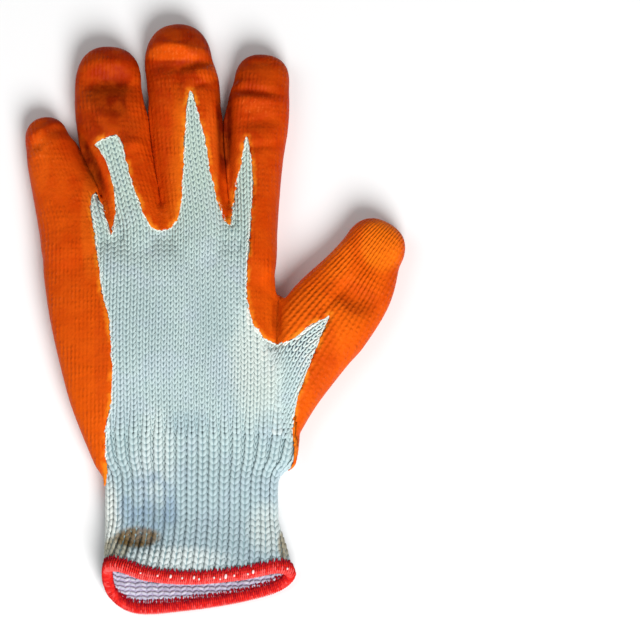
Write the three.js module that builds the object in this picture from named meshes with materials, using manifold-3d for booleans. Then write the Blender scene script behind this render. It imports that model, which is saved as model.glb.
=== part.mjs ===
// A knitted work glove for the left hand, dipped in latex. It lies palm down, with
// the fingers towards +Y, the thumb towards +X and the back of the hand facing up.
// Four pieces: the knitted hand, the latex skin over it, the ribbed cuff and the
// overlocked hem round the mouth. All sizes are in millimetres.
import * as THREE from "three";
import { mergeVertices } from "three/addons/utils/BufferGeometryUtils.js";
import Module from "manifold-3d";

const wasm = await Module();
wasm.setup();

// Walls, and the air left between separate pieces
const SKIN = 0.8;
const KNIT = 1.5;
const AIR = 0.3;
const CUFF_WALL = 1.3;
const RIB_DEPTH = 1.0;

// How deep each surface of the hand lies under the outer face of the latex
const KNIT_OUT = SKIN + AIR;
const KNIT_IN = KNIT_OUT + KNIT;

// Where the hand ends and the cuff begins, from the lowest edge of the hem
const WRIST_Y = 72;
const RIBS = 36;
const HEM_REACH = 3;
const HEM_HALF_THICK = 2.3;
const HEM_AIR = 0.45;

// The tables put y = 0 at the lowest edge of the hem; this is the middle of the plan
const MIDDLE_X = 19.2;
const MIDDLE_Y = 122.9;

// Roundness of the cross-sections: 2 is an ellipse, more is squarer
const BACK_POWER = 2.3;
const PALM_POWER = 2.6;
// The widest place lies this share of the way up, and the underside is cut off flat
const WIDEST = 0.45;
const FLAT = 1.4;

// Sides of the cross-sections; the lining is never seen, so it has fewer
const OUTER_SIDES = { hand: 32, thumb: 14, finger: 12 };
const LINING_SIDES = { hand: 20, thumb: 10, finger: 8 };
const TIP_TURNS = [0.34, 0.66, 0.9];

// A table's rows as objects, named by its columns
const table = (columns, rows) => {
  const names = columns.split(" ");
  return rows.map((row) => Object.fromEntries(names.map((name, i) => [name, row[i]])));
};

// Centre line on the floor plan, half width square to it, underside and back
const HAND = table("x y half low high", [
  [9.9, 38.0, 35.6, 0, 17.0],
  [9.8, 56.0, 36.0, 0, 18.4],
  [11.4, 62.0, 40.8, 0, 18.8],
  [8.1, 80.0, 44.8, 0, 20.5],
  [5.0, 92.5, 45.8, 0, 21.5],
  [-0.8, 117.5, 45.9, 0, 22.0],
  [-3.3, 137.0, 46.5, 0, 21.0],
  [-3.8, 147.0, 46.5, 0.3, 19.0],
  [-3.8, 154.0, 44.0, 2.0, 15.0],
]);
const KNUCKLE_END = { x: -3.8, y: 158.0, z: 8.0, blunt: 2.6 };

const FINGERS = {
  little: {
    rows: table("x y half low high", [
      [-31.0, 120.0, 8.0, 3.5, 15.0],
      [-35.7, 146.0, 14.0, 0, 18.5],
      [-37.9, 160.0, 14.2, 0, 17.5],
      [-40.3, 170.0, 13.6, 0, 16.5],
      [-44.0, 180.0, 11.7, 0, 15.5],
      [-47.4, 191.0, 10.2, 0, 14.2],
      [-49.2, 197.5, 8.8, 0, 13.2],
    ]),
    apex: { x: -50.2, y: 207.0, z: 6.3, blunt: 2.2 },
  },
  ring: {
    rows: table("x y half low high", [
      [-10.0, 122.0, 7.0, 3.0, 16.0],
      [-11.4, 143.0, 9.4, 0, 19.0],
      [-12.3, 160.0, 9.6, 0, 18.5],
      [-14.8, 172.0, 10.9, 0, 17.2],
      [-22.0, 197.0, 13.9, 0, 16.0],
      [-23.8, 210.0, 14.1, 0, 15.2],
      [-24.6, 219.5, 13.4, 0, 13.3],
      [-24.4, 225.5, 12.6, 0, 15.0],
    ]),
    apex: { x: -23.6, y: 236.4, z: 7.0, blunt: 2.3 },
  },
  middle: {
    rows: table("x y half low high", [
      [12.0, 122.0, 8.0, 3.0, 16.0],
      [12.2, 143.0, 12.6, 0, 20.0],
      [11.7, 160.0, 13.0, 0, 19.0],
      [8.5, 190.0, 13.7, 0, 16.8],
      [6.8, 210.0, 14.3, 0, 16.2],
      [5.9, 220.0, 14.6, 0, 15.6],
      [4.7, 228.0, 14.3, 0, 14.0],
      [4.7, 233.5, 13.7, 0, 15.2],
    ]),
    apex: { x: 5.2, y: 245.2, z: 7.2, blunt: 2.3 },
  },
  index: {
    rows: table("x y half low high", [
      [31.0, 120.0, 6.0, 4.0, 15.0],
      [34.6, 143.0, 8.6, 0, 18.5],
      [35.1, 158.0, 8.9, 0, 18.0],
      [34.9, 190.0, 11.6, 0, 15.9],
      [35.5, 203.0, 12.9, 0, 14.3],
      [36.3, 210.0, 12.7, 0, 15.3],
      [37.0, 216.0, 12.1, 0, 13.8],
      [37.6, 221.0, 11.1, 0, 14.6],
    ]),
    apex: { x: 38.7, y: 233.0, z: 6.8, blunt: 2.6 },
  },
  thumb: {
    rows: table("x y half low high", [
      [41.0, 77.0, 12.0, 3.5, 14.5],
      [48.5, 94.4, 16.3, 0, 18.5],
      [58.0, 111.0, 18.6, 0, 19.5],
      [64.8, 121.8, 19.3, 0, 19.2],
      [74.7, 135.9, 16.6, 0, 16.8],
      [82.2, 150.0, 12.5, 0, 16.2],
    ]),
    apex: { x: 89.0, y: 162.0, z: 7.5, blunt: 2.5 },
  },
};

// The middle of the hem, all the way round the mouth: it gapes on the little finger's
// side, and the back layer is drawn up short of the palm layer
const MOUTH = table("turn x y z", [
  [0, 49.4, 17.0, 6.4],
  [30, 44.6, 18.6, 10.8],
  [60, 30.0, 15.4, 12.3],
  [90, 11.0, 13.1, 14.2],
  [120, -7.0, 13.8, 16.5],
  [150, -19.5, 17.8, 17.0],
  [180, -23.9, 17.6, 11.0],
  [210, -21.6, 9.0, 4.4],
  [240, -11.5, 3.9, 2.6],
  [270, 8.5, 5.3, 2.55],
  [300, 28.0, 8.4, 2.6],
  [330, 43.4, 12.6, 3.1],
]);

// Hollows pressed into the back, by their centre and reach in plan
const DENTS = table("x y across along depth", [
  [-12.0, 29.0, 11.0, 5.0, 3.0],
  [30.0, 62.0, 16.0, 7.0, 1.0],
  [-6.0, 88.0, 18.0, 8.0, 0.8],
  [74.0, 131.0, 8.0, 6.0, 1.0],
]);

// Well past the glove on every side
const CLEAR = 120;

// The bare knit runs up each finger as a tongue: its tip, and where its left and right
// edges start from the webs. Each edge bows out to the left by the size given.
const TONGUES = table("left_x left_y left_bow tip_x tip_y tip_half right_x right_y right_bow", [
  [-29.8, 157.1, 0.6, -28.9, 173.5, 0.8, -22.7, 155.3, -2.6],
  [-22.7, 157.0, -2.6, -26.0, 194.8, 4.2, -7.2, 158.4, 2.4],
  [3.0, 160.4, -2.2, 8.7, 215.8, 0.6, 24.0, 160.4, -1.6],
  [26.4, 161.0, -1.4, 31.4, 194.9, 0.6, 33.0, 157.1, -1.8],
]);
// Bottoms of the webs between neighbouring tongues, where the latex dips lowest
const WEBS = table("x y", [
  [-22.7, 155.2],
  [-1.9, 156.4],
  [25.2, 159.2],
]);
// The edge of the latex down the little finger's side, then up the thumb's side
const OUTER_EDGE = table("x y", [
  [-28.4, 50.0],
  [-24.8, 60.0],
  [-24.6, 73.0],
  [-22.4, 86.0],
  [-22.8, 112.0],
  [-26.4, 130.0],
]);
const THUMB_TIP = 6;
const THUMB_EDGE = table("x y", [
  [31.7, 140.0],
  [32.0, 127.0],
  [36.0, 115.5],
  [42.0, 110.2],
  [47.5, 109.8],
  [56.0, 115.4],
  [65.3, 120.8],
  [62.1, 112.9],
  [57.0, 100.0],
  [52.6, 88.0],
  [50.4, 76.0],
  [51.0, 66.0],
  [54.0, 60.0],
]);
// The two edges meet at this height on the glove's sides
const SIDE_Z = 8;

// The lower edge of the latex on the palm, which runs out in a tooth down each rib
const PALM_EDGE = table("x y", [
  [-CLEAR, 54.5],
  [-26.0, 53.5],
  [-17.0, 51.0],
  [4.0, 49.0],
  [25.0, 49.0],
  [34.0, 53.5],
  [43.0, 62.0],
  [53.0, 70.5],
  [CLEAR, 72.0],
]);
const TOOTH = 4.0;
const TOOTH_PITCH = 5.2;
const TEETH_FROM = -24;
const TEETH = 14;
// One gap and one tooth, in shares of the pitch and of a tooth's length
const TOOTH_CORNERS = table("along rise", [
  [0, -0.5],
  [0.45, -0.5],
  [0.6, 0.5],
  [0.85, 0.5],
]);

const lerp = THREE.MathUtils.lerp;
const power = (value, exponent) => Math.sign(value) * Math.abs(value) ** exponent;

// How far the back is pressed in above a place on the floor plan
function pressed(x, y) {
  return DENTS.reduce((sum, dent) => {
    const far = ((x - dent.x) / dent.across) ** 2 + ((y - dent.y) / dent.along) ** 2;
    return sum + dent.depth * Math.exp(-far);
  }, 0);
}

// A row of a table part of the way between two of its rows
function between(rows, y) {
  const next = Math.max(1, rows.findIndex((row) => row.y >= y));
  const [a, b] = [rows[next - 1], rows[next]];
  const share = (y - a.y) / (b.y - a.y);
  return Object.fromEntries(Object.keys(a).map((key) => [key, lerp(a[key], b[key], share)]));
}

// One closed cross-section, square to the heading, set in by a depth
function section(row, heading, depth, sides) {
  const side = new THREE.Vector2(heading.y, -heading.x);
  const widest = lerp(row.low, row.high, WIDEST);
  return Array.from({ length: sides }, (_, i) => {
    const turn = (i / sides) * 2 * Math.PI;
    const [c, s] = [Math.cos(turn), Math.sin(turn)];
    const round = s > 0 ? BACK_POWER : PALM_POWER;
    const across = (row.half - depth) * power(c, 2 / round);
    const x = row.x + side.x * across;
    const y = row.y + side.y * across;
    if (s > 0) {
      const rise = row.high - depth - widest;
      const top = widest + rise * power(s, 2 / round);
      return new THREE.Vector3(x, y, top - pressed(x, y) * power(s, 0.5));
    }
    const drop = widest - row.low - depth + FLAT;
    const bottom = widest + drop * power(s, 2 / round);
    return new THREE.Vector3(x, y, Math.max(bottom, row.low + depth));
  });
}

// The cross-sections of a finger or of the hand, from its root to just short of its end.
// The hand's stay square to +Y, so that the cuff can share them.
function sections(rows, apex, depth, sides) {
  const squareTo = (a, b) =>
    rows === HAND ? new THREE.Vector2(0, 1) : new THREE.Vector2(b.x - a.x, b.y - a.y).normalize();
  const made = rows.map((row, i) =>
    section(row, squareTo(rows[Math.max(i - 1, 0)], rows[i + 1] ?? apex), depth, sides),
  );
  const last = rows[rows.length - 1];
  const run = new THREE.Vector2(apex.x - last.x, apex.y - last.y);
  const heading = squareTo(last, apex);
  const share = 1 - depth / run.length();
  for (const turn of TIP_TURNS) {
    const along = Math.sin((turn * Math.PI) / 2) ** (2 / apex.blunt);
    const scale = Math.cos((turn * Math.PI) / 2) ** (2 / apex.blunt);
    const row = {
      x: last.x + run.x * along * share,
      y: last.y + run.y * along * share,
      half: (last.half - depth) * scale + depth,
      low: lerp(apex.z - depth, last.low, scale),
      high: lerp(apex.z + depth, last.high, scale),
    };
    made.push(section(row, heading, depth, sides));
  }
  const end = new THREE.Vector3(last.x + run.x * share, last.y + run.y * share, apex.z);
  return { rings: made, end };
}

// A closed surface over a run of rings of equal count, capped flat at the start and
// brought to a point at the end
function loft(rings, end) {
  const count = rings[0].length;
  const start = rings[0]
    .reduce((sum, p) => sum.add(p), new THREE.Vector3())
    .divideScalar(count);
  const points = [...rings.flat(), start, end];
  const tail = (rings.length - 1) * count;
  const index = [];
  for (let i = 0; i < count; i++) {
    const j = (i + 1) % count;
    index.push(points.length - 2, i, j, tail + j, tail + i, points.length - 1);
    for (let a = 0; a < tail; a += count) {
      index.push(a + j, a + i, a + count + j, a + count + j, a + i, a + count + i);
    }
  }
  return solid(new THREE.BufferGeometry().setFromPoints(points).setIndex(index));
}

// A three.js geometry as a solid that can be joined and cut
function solid(geometry) {
  geometry.deleteAttribute("normal");
  geometry.deleteAttribute("uv");
  const merged = mergeVertices(geometry, 1e-4);
  return new wasm.Manifold(
    new wasm.Mesh({
      numProp: 3,
      vertProperties: merged.attributes.position.array,
      triVerts: new Uint32Array(merged.index.array),
    }),
  );
}

// The whole glove's form above the mouth, set in by a depth: hand, fingers and thumb
function form(depth, sides) {
  const hand = sections(HAND, KNUCKLE_END, depth, sides.hand);
  return Object.entries(FINGERS).reduce(
    (sum, [name, finger]) => {
      const { rings, end } = sections(finger.rows, finger.apex, depth, sides[name] ?? sides.finger);
      return sum.add(loft(rings, end));
    },
    loft(hand.rings, hand.end),
  );
}

// A box from one corner to the other
function block(low, high) {
  const size = high.map((value, i) => value - low[i]);
  const geometry = new THREE.BoxGeometry(...size);
  geometry.translate(...low.map((value, i) => value + size[i] / 2));
  return solid(geometry);
}

// An outline on the floor plan, made upright between two heights
function upright(outline, low, high) {
  const geometry = new THREE.ExtrudeGeometry(outline, {
    depth: high - low,
    bevelEnabled: false,
    curveSegments: 4,
  });
  geometry.translate(0, 0, low);
  return solid(geometry);
}

// The bare knit seen from above: side edges, and a tongue up each finger
function backWindow() {
  const outline = new THREE.Shape();
  const spline = (rows) => outline.splineThru(rows.map((row) => new THREE.Vector2(row.x, row.y)));
  const bowed = (x, y, bow) => {
    const from = outline.currentPoint.clone();
    outline.quadraticCurveTo((from.x + x) / 2 - bow, (from.y + y) / 2, x, y);
  };
  const ends = [OUTER_EDGE[0], THUMB_EDGE[THUMB_EDGE.length - 1]];
  outline.moveTo(-CLEAR, 0);
  outline.lineTo(-CLEAR, ends[0].y);
  outline.lineTo(ends[0].x, ends[0].y);
  spline(OUTER_EDGE.slice(1));
  TONGUES.forEach((tongue, i) => {
    outline.lineTo(tongue.left_x, tongue.left_y);
    bowed(tongue.tip_x - tongue.tip_half, tongue.tip_y, tongue.left_bow);
    outline.lineTo(tongue.tip_x + tongue.tip_half, tongue.tip_y);
    bowed(tongue.right_x, tongue.right_y, tongue.right_bow);
    if (WEBS[i]) outline.lineTo(WEBS[i].x, WEBS[i].y);
  });
  outline.lineTo(THUMB_EDGE[0].x, THUMB_EDGE[0].y);
  spline(THUMB_EDGE.slice(1, THUMB_TIP + 1));
  spline(THUMB_EDGE.slice(THUMB_TIP + 1));
  outline.lineTo(CLEAR, ends[1].y);
  outline.lineTo(CLEAR, 0);
  return outline;
}

// The bare knit seen from below: all that lies short of the toothed edge
function palmWindow() {
  const edge = (x) => {
    const next = PALM_EDGE.findIndex((row) => row.x >= x);
    const [a, b] = [PALM_EDGE[next - 1], PALM_EDGE[next]];
    return lerp(a.y, b.y, (x - a.x) / (b.x - a.x));
  };
  const outline = new THREE.Shape();
  outline.moveTo(-CLEAR, 0);
  outline.lineTo(-CLEAR, PALM_EDGE[0].y);
  for (let i = 0; i < TEETH; i++) {
    for (const corner of TOOTH_CORNERS) {
      const x = TEETH_FROM + (i + corner.along) * TOOTH_PITCH;
      outline.lineTo(x, edge(x) + corner.rise * TOOTH);
    }
  }
  const last = TEETH_FROM + TEETH * TOOTH_PITCH;
  outline.lineTo(last, edge(last));
  outline.lineTo(CLEAR, edge(CLEAR));
  outline.lineTo(CLEAR, 0);
  return outline;
}

// The middle of the hem's roll, as a closed curve
const mouthCurve = new THREE.CatmullRomCurve3(
  MOUTH.map((row) => new THREE.Vector3(row.x, row.y, row.z)),
  true,
);

// A ring of the cuff, its points evenly spaced: at blend 0 it is the mouth's curve, at 1
// the same polygon as the hand
function cuffRing(y, blend, count) {
  const base = section(between(HAND, y), new THREE.Vector2(0, 1), 0, OUTER_SIDES.hand);
  const path = new THREE.CurvePath();
  const corners = base.map((p, i) => mouthCurve.getPoint(i / base.length).lerp(p, blend));
  corners.forEach((p, i) => {
    path.add(new THREE.LineCurve3(p, corners[(i + 1) % corners.length]));
  });
  return path.getSpacedPoints(count).slice(0, count);
}

// The stations of the cuff beyond the hem
const CUFF = table("y blend", [
  [38.0, 0.5],
  [38.0, 1.0],
  [56.0, 1.0],
  [62.0, 1.0],
  [WRIST_Y - AIR / 2, 1.0],
]);
const THICK = CUFF_WALL + RIB_DEPTH;

// The outward direction at each point of a run of rings
function outward(rings) {
  const count = rings[0].length;
  return rings.map((ring, r) =>
    ring.map((_, i) => {
      const round = ring[(i + 1) % count].clone().sub(ring[(i + count - 1) % count]);
      const [from, to] = [rings[Math.max(r - 1, 0)], rings[Math.min(r + 1, rings.length - 1)]];
      return to[i].clone().sub(from[i]).cross(round).normalize();
    }),
  );
}

// Places round the mouth, each able to give the point so far into the cuff's wall and so
// far out from its middle
function mouthPlaces(count) {
  const rings = [0, 0.3].map((blend) => cuffRing(CUFF[0].y, blend, count));
  const away = outward(rings)[0];
  return rings[0].map((p, i) => {
    const inward = rings[1][i].clone().sub(p).normalize();
    return (reach, off) =>
      p.clone().addScaledVector(inward, reach).addScaledVector(away[i], off);
  });
}

// A closed surface over rings of equal count, the last joined to the first
function ringSolid(rings) {
  const count = rings[0].length;
  const index = rings.flatMap((_, r) =>
    rings[0].flatMap((__, i) => {
      const [a, b] = [r * count, ((r + 1) % rings.length) * count];
      const j = (i + 1) % count;
      return [a + i, b + i, b + j, a + i, b + j, a + j];
    }),
  );
  return solid(new THREE.BufferGeometry().setFromPoints(rings.flat()).setIndex(index));
}

// The cuff's wall: ribbed outside, smooth inside, its open end held in the hem
function cuffTube() {
  const count = RIBS * 2;
  const places = mouthPlaces(count);
  const rings = CUFF.map((row) => cuffRing(row.y, row.blend, count));
  const away = outward(rings);
  const surface = (depthOf) => {
    const ends = [0, HEM_REACH + 1].map((reach) =>
      places.map((place, i) => place(reach, THICK / 2 - depthOf(i))),
    );
    const wall = rings.map((ring, r) => {
      const crest = lerp(-THICK / 2, KNIT_OUT, CUFF[r].blend);
      return ring.map((p, i) => p.clone().addScaledVector(away[r][i], -crest - depthOf(i)));
    });
    wall[wall.length - 1].forEach((p) => p.setY(WRIST_Y - AIR / 2));
    return [...ends, ...wall];
  };
  const outside = surface((i) => (i % 2) * RIB_DEPTH);
  const inside = surface(() => THICK);
  return ringSolid([...outside, ...inside.reverse()]);
}

// The hem's section: how far into the cuff's wall, and how far out from its middle
const SLOT = THICK / 2 + HEM_AIR;
const HEM_SECTION = table("reach off", [
  [HEM_REACH, SLOT],
  [HEM_REACH * 0.6, HEM_HALF_THICK],
  [-HEM_REACH * 0.5, HEM_HALF_THICK * 0.95],
  [-HEM_REACH, HEM_HALF_THICK * 0.4],
  [-HEM_REACH, -HEM_HALF_THICK * 0.4],
  [-HEM_REACH * 0.5, -HEM_HALF_THICK * 0.95],
  [HEM_REACH * 0.6, -HEM_HALF_THICK],
  [HEM_REACH, -SLOT],
  [-HEM_AIR, -SLOT],
  [-HEM_AIR, SLOT],
]);

// The hem: a roll round the mouth with a slot that takes the cuff's edge
function hemRoll() {
  const places = mouthPlaces(RIBS * 2);
  return ringSolid(places.map((place) => HEM_SECTION.map((at) => place(at.reach, at.off))));
}

const hand = form(KNIT_OUT, OUTER_SIDES)
  .subtract(form(KNIT_IN, LINING_SIDES))
  .subtract(block([-CLEAR, -CLEAR, -CLEAR], [CLEAR, WRIST_Y + AIR / 2, CLEAR]));

const skin = form(0, OUTER_SIDES)
  .subtract(form(SKIN, OUTER_SIDES))
  .subtract(upright(backWindow(), SIDE_Z, CLEAR))
  .subtract(upright(palmWindow(), -CLEAR, SIDE_Z));

// A finished piece: its solid, set about the plan's middle, with its finish
function piece(name, made, colour, roughness) {
  const { vertProperties, triVerts, numProp } = made.getMesh();
  const geometry = new THREE.BufferGeometry();
  const points = new Float32Array((vertProperties.length / numProp) * 3);
  for (let i = 0; i < points.length / 3; i++) {
    points.set(vertProperties.subarray(i * numProp, i * numProp + 3), i * 3);
  }
  geometry.setAttribute("position", new THREE.BufferAttribute(points, 3));
  geometry.setIndex(new THREE.BufferAttribute(triVerts, 1));
  geometry.computeVertexNormals();
  const material = new THREE.MeshStandardMaterial({ color: colour, roughness, metalness: 0 });
  const mesh = new THREE.Mesh(geometry, material);
  mesh.name = name;
  mesh.position.set(-MIDDLE_X, -MIDDLE_Y, 0);
  return mesh;
}

const glove = new THREE.Group();
glove.add(
  piece("knit_hand", hand, 0xc9d6d6, 0.9),
  piece("latex_skin", skin, 0xe2560a, 0.42),
  piece("rib_cuff", cuffTube(), 0xc9d6d6, 0.9),
  piece("overlock_hem", hemRoll(), 0xd8201c, 0.75),
);

export default glove;
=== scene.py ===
import math
import random

import bmesh
import bpy
import numpy as np
from mathutils import Matrix, Vector, noise
from mathutils.bvhtree import BVHTree


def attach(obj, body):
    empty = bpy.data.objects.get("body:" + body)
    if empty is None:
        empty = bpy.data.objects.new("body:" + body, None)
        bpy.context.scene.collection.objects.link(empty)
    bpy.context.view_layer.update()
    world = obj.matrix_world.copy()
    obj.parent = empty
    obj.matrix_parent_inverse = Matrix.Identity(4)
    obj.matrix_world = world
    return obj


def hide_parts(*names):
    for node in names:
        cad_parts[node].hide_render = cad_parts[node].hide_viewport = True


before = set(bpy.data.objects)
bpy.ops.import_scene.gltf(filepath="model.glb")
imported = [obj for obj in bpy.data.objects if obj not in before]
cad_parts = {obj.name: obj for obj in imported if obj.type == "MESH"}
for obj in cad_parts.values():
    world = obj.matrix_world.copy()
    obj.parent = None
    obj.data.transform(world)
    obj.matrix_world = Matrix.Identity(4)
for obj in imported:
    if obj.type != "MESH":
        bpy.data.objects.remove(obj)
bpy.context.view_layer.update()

# A knitted work glove for the left hand, dipped in latex, lying palm down with its
# fingers towards +Y and its thumb towards +X. The tables are in millimetres, with y = 0
# at the lowest edge of the hem; metres() turns them into the model's own frame.
MIDDLE_X = 19.2
MIDDLE_Y = 122.9
MM = 0.001

# The latex's thickness, how far its face sinks to the knit at its edge, and over what width
LATEX = 0.45
LATEX_EDGE = 0.42
EDGE_STRIP = 1.8
# The knit: how deep under the hand's skin it lies, its wall, and the seam at the wrist
KNIT_OUT = 1.1
KNIT_WALL = 1.3
SEAM = 0.3
WRIST_Y = 72

# The cross-sections' shape: how boxy the back and the palm are, where they are widest, and
# how deep the floor cuts the palm flat; then how blunt the hand ends
BACK_POWER = 2.3
PALM_POWER = 2.6
WIDEST = 0.45
FLAT = 1.4
HAND_BLUNT = 2.6
# Cross-sections to a row of a table and over a tube's end, and their sides
ROW_STEPS = 6
END_RINGS = 10
HAND_SIDES = 72
FINGER_SIDES = 40
# How deep under their surface the tubes are joined, and what smoothing takes off
JOIN_DEPTH = 0.7
SMOOTHED_OFF = 0.12

# Centre line on the floor plan, half width square to it, underside and back
HAND = [
    (9.9, 38, 35.6, 0, 17), (9.8, 56, 36, 0, 18.4), (11.4, 62, 40.8, 0, 18.8), (8.1, 80, 44.8, 0, 20.5),
    (5, 92.5, 45.8, 0, 21.5), (-0.8, 117.5, 45.9, 0, 22), (-3.3, 137, 46.5, 0, 21),
    (-3.8, 147, 46.5, 0.3, 19), (-3.8, 154, 44, 2, 15),
]
KNUCKLE_END = (-3.8, 158, 8)

# Each finger's end, how blunt it is, and its rows like the hand's
FINGERS = {
    "little": {"tip": (-50.2, 207, 6.3), "blunt": 2.2, "rows": [
        (-31, 120, 8, 3.5, 15), (-35.7, 146, 14, 0, 18.5), (-37.9, 160, 14.2, 0, 17.5),
        (-40.3, 170, 13.6, 0, 16.5), (-43.4, 180, 12.3, 0, 15.5), (-46.9, 191, 10.7, 0, 14.2),
        (-49.2, 197.5, 8.8, 0, 13.2)]},
    "ring": {"tip": (-23.6, 236.4, 7), "blunt": 2.5, "rows": [
        (-10, 122, 7, 3, 16), (-11.4, 143, 9.4, 0, 19), (-12.3, 160, 9.6, 0, 18.5),
        (-14.8, 172, 10.9, 0, 17.2), (-18.3, 184, 12.2, 0, 16.4), (-22, 197, 13.9, 0, 16),
        (-23.8, 210, 14.1, 0, 15.6), (-24.6, 219.5, 13.4, 0, 15.4)]},
    "middle": {"tip": (3.2, 245.9, 7.2), "blunt": 2.3, "rows": [
        (12, 122, 8, 3, 16), (12.2, 143, 12.6, 0, 20), (11.7, 160, 13, 0, 19), (10.6, 170, 13.1, 0, 18),
        (8.3, 190, 13.7, 0, 16.8), (6.8, 210, 14.3, 0, 16.2), (5.9, 220, 14.6, 0, 15.8),
        (4, 228.5, 13.7, 0, 15.8)]},
    "index": {"tip": (38.7, 233, 6.8), "blunt": 2.6, "rows": [
        (31, 120, 6, 4, 15), (34.6, 143, 8.6, 0, 18.5), (35.1, 158, 8.9, 0, 18), (34.9, 175, 10.2, 0, 16.6),
        (34.9, 190, 11.6, 0, 15.9), (35.5, 203, 12.9, 0, 15.5), (36.6, 213.5, 12.4, 0, 15),
        (37.6, 220.5, 11.2, 0, 14.6)]},
    "thumb": {"tip": (89, 162, 7.5), "blunt": 2.5, "rows": [
        (41, 77, 12, 3.5, 14.5), (47.8, 94.8, 15, 0, 18.5), (57.2, 111.5, 17.4, 0, 19.5),
        (64.3, 122.1, 18.6, 0, 19.2), (74.7, 135.9, 16.6, 0, 16.8), (82.2, 150, 12.5, 0, 16.2)]},
}

# The webs that fill the valleys between the fingers' roots
WEBS = [
    {"tip": (-27, 172.5, 7.5), "blunt": 2, "rows": [
        (-19.5, 146, 4.2, 2.5, 18), (-22.8, 158, 3.6, 2.5, 16.6), (-25, 166, 2.9, 2.5, 14.6)]},
    {"tip": (-3.2, 170, 8), "blunt": 2, "rows": [
        (-1.5, 146, 4.2, 2.5, 18.6), (-2, 157, 3.6, 2.5, 17), (-2.6, 163.5, 2.9, 2.5, 15)]},
    {"tip": (24.4, 171, 8), "blunt": 2, "rows": [
        (26, 146, 4.2, 2.5, 18.4), (25.5, 157, 3.6, 2.5, 16.8), (24.9, 164, 2.9, 2.5, 14.4)]},
    {"tip": (44.6, 132, 7.5), "blunt": 2, "rows": [
        (43.6, 112, 5, 2.5, 17), (44.4, 121, 4.4, 2.5, 15.5), (44.7, 127, 3.2, 2.5, 13)]},
]

# Where fingers lie against each other: how far up, from the little finger's side, within
# which y and up to which x, and over what length they part
TOUCH_END = [(-31, 199), (-5, 217), (25, 211)]
TOUCH_Y = (145, 216)
TOUCH_SIDE = 40
TOUCH_PARTING = 8
# Room that is closed between them, room that stays, and the gap that is left
TOUCH_ROOM = (2.2, 3.6)
TOUCH_GAP = 0.05

# The middle of the hem round the mouth, every 30 degrees from the thumb's side
MOUTH = [
    (49.4, 17, 6.4), (44.6, 18.6, 10.8), (30, 15.4, 12.3), (11, 13.1, 14.2), (-7, 13.8, 16.5),
    (-19.5, 17.8, 17), (-23.9, 17.6, 11), (-21.6, 9, 4.4), (-11.5, 3.9, 2.6), (8.5, 5.3, 2.55),
    (28, 8.4, 2.6), (43.4, 12.6, 3.1),
]

# Folds in the back: centre, reach across and along, turn in degrees, and depth, which is
# less than 0 for a ridge
FOLDS = [
    (-12, 29, 11, 5, 0, 3), (30, 62, 16, 7, 0, 0.6), (-6, 88, 18, 8, 0, 0.8), (43, 88, 2.2, 20, 8, -0.5),
    (47.5, 60, 1.6, 5, 50, 0.9), (52, 66, 5, 6, 0, -0.8), (-30, 205, 1.3, 7, 30, 1.1),
    (-33.5, 189, 2.8, 9, 20, 2.8), (-26.6, 171, 1.1, 11, 18, 2), (-24, 220, 10.5, 5, 0, 4.3),
    (-24, 228, 11, 2.6, 0, -0.7), (-21.5, 209, 3.2, 4.5, 10, 1), (-13, 193.5, 5, 2.4, 0, -0.9),
    (-31.5, 211, 3, 2, -20, -0.5), (12, 228.6, 8.5, 2.2, 18, 2.4), (13, 227.4, 5.5, 1.2, 16, 1.2),
    (-4.5, 227, 9, 3.6, 0, 1.4), (5.5, 234.2, 13, 1.8, -12, -1.1), (4.4, 222, 0.9, 5.5, 2, 1.8),
    (14, 224, 4.5, 2.2, 12, -0.9), (12.8, 218.6, 4, 1.3, 22, 1.1), (8, 212, 4, 1.4, -20, 0.5),
    (23.4, 192, 2.8, 21, 0, 4.6), (33, 216.4, 9.5, 1.6, -6, 2.3), (35, 212.2, 9.5, 1.6, -4, -0.9),
    (37, 203.4, 9, 3.2, 4, 1.4), (33.5, 207.6, 4, 1.3, 14, 0.6), (35, 228, 9, 2.2, 0, 0.8),
    (27, 221.5, 2.6, 1.6, 35, 1.4), (31.4, 203, 0.8, 6, 4, 0.9), (37, 192.5, 8, 1.8, 8, 0.8),
    (-51, 203.5, 5, 1.8, 25, 0.8), (68.5, 130.2, 1.6, 10, -40, 1.2), (76, 129, 8, 6, -35, 3.4),
    (78.5, 144, 6, 9, -30, 1.1), (44, 121.5, 1.8, 11, 2, 3), (43.2, 110.5, 2.4, 3, 0, 0.9),
    (-46, 200, 5, 2.2, 20, 0.9), (-54, 198.5, 2.6, 2, 20, -0.8), (-49.8, 190.6, 1, 0.9, 0, 0.5),
    (-53.5, 193.5, 3, 1.6, 0, 0.6), (-52.5, 190, 2.5, 1.8, 0, -0.5),
]
# Slack folds across the palm's underside, which leave its middle clear of the floor
PALM_FOLDS = [
    (6, 92, 30, 5, -6, 1.3), (-4, 108, 26, 4, 4, 0.9), (2, 126, 30, 5.5, 3, 1.2), (-6, 146, 34, 4, -3, 1),
    (60, 112, 12, 4, -35, 1), (7, 196, 9, 3.5, 0, 0.9), (-21, 190, 8, 3.5, 0, 0.9),
    (35, 184, 7, 3.5, 0, 0.8), (-43, 176, 8, 3, 10, 0.8),
]

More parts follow.
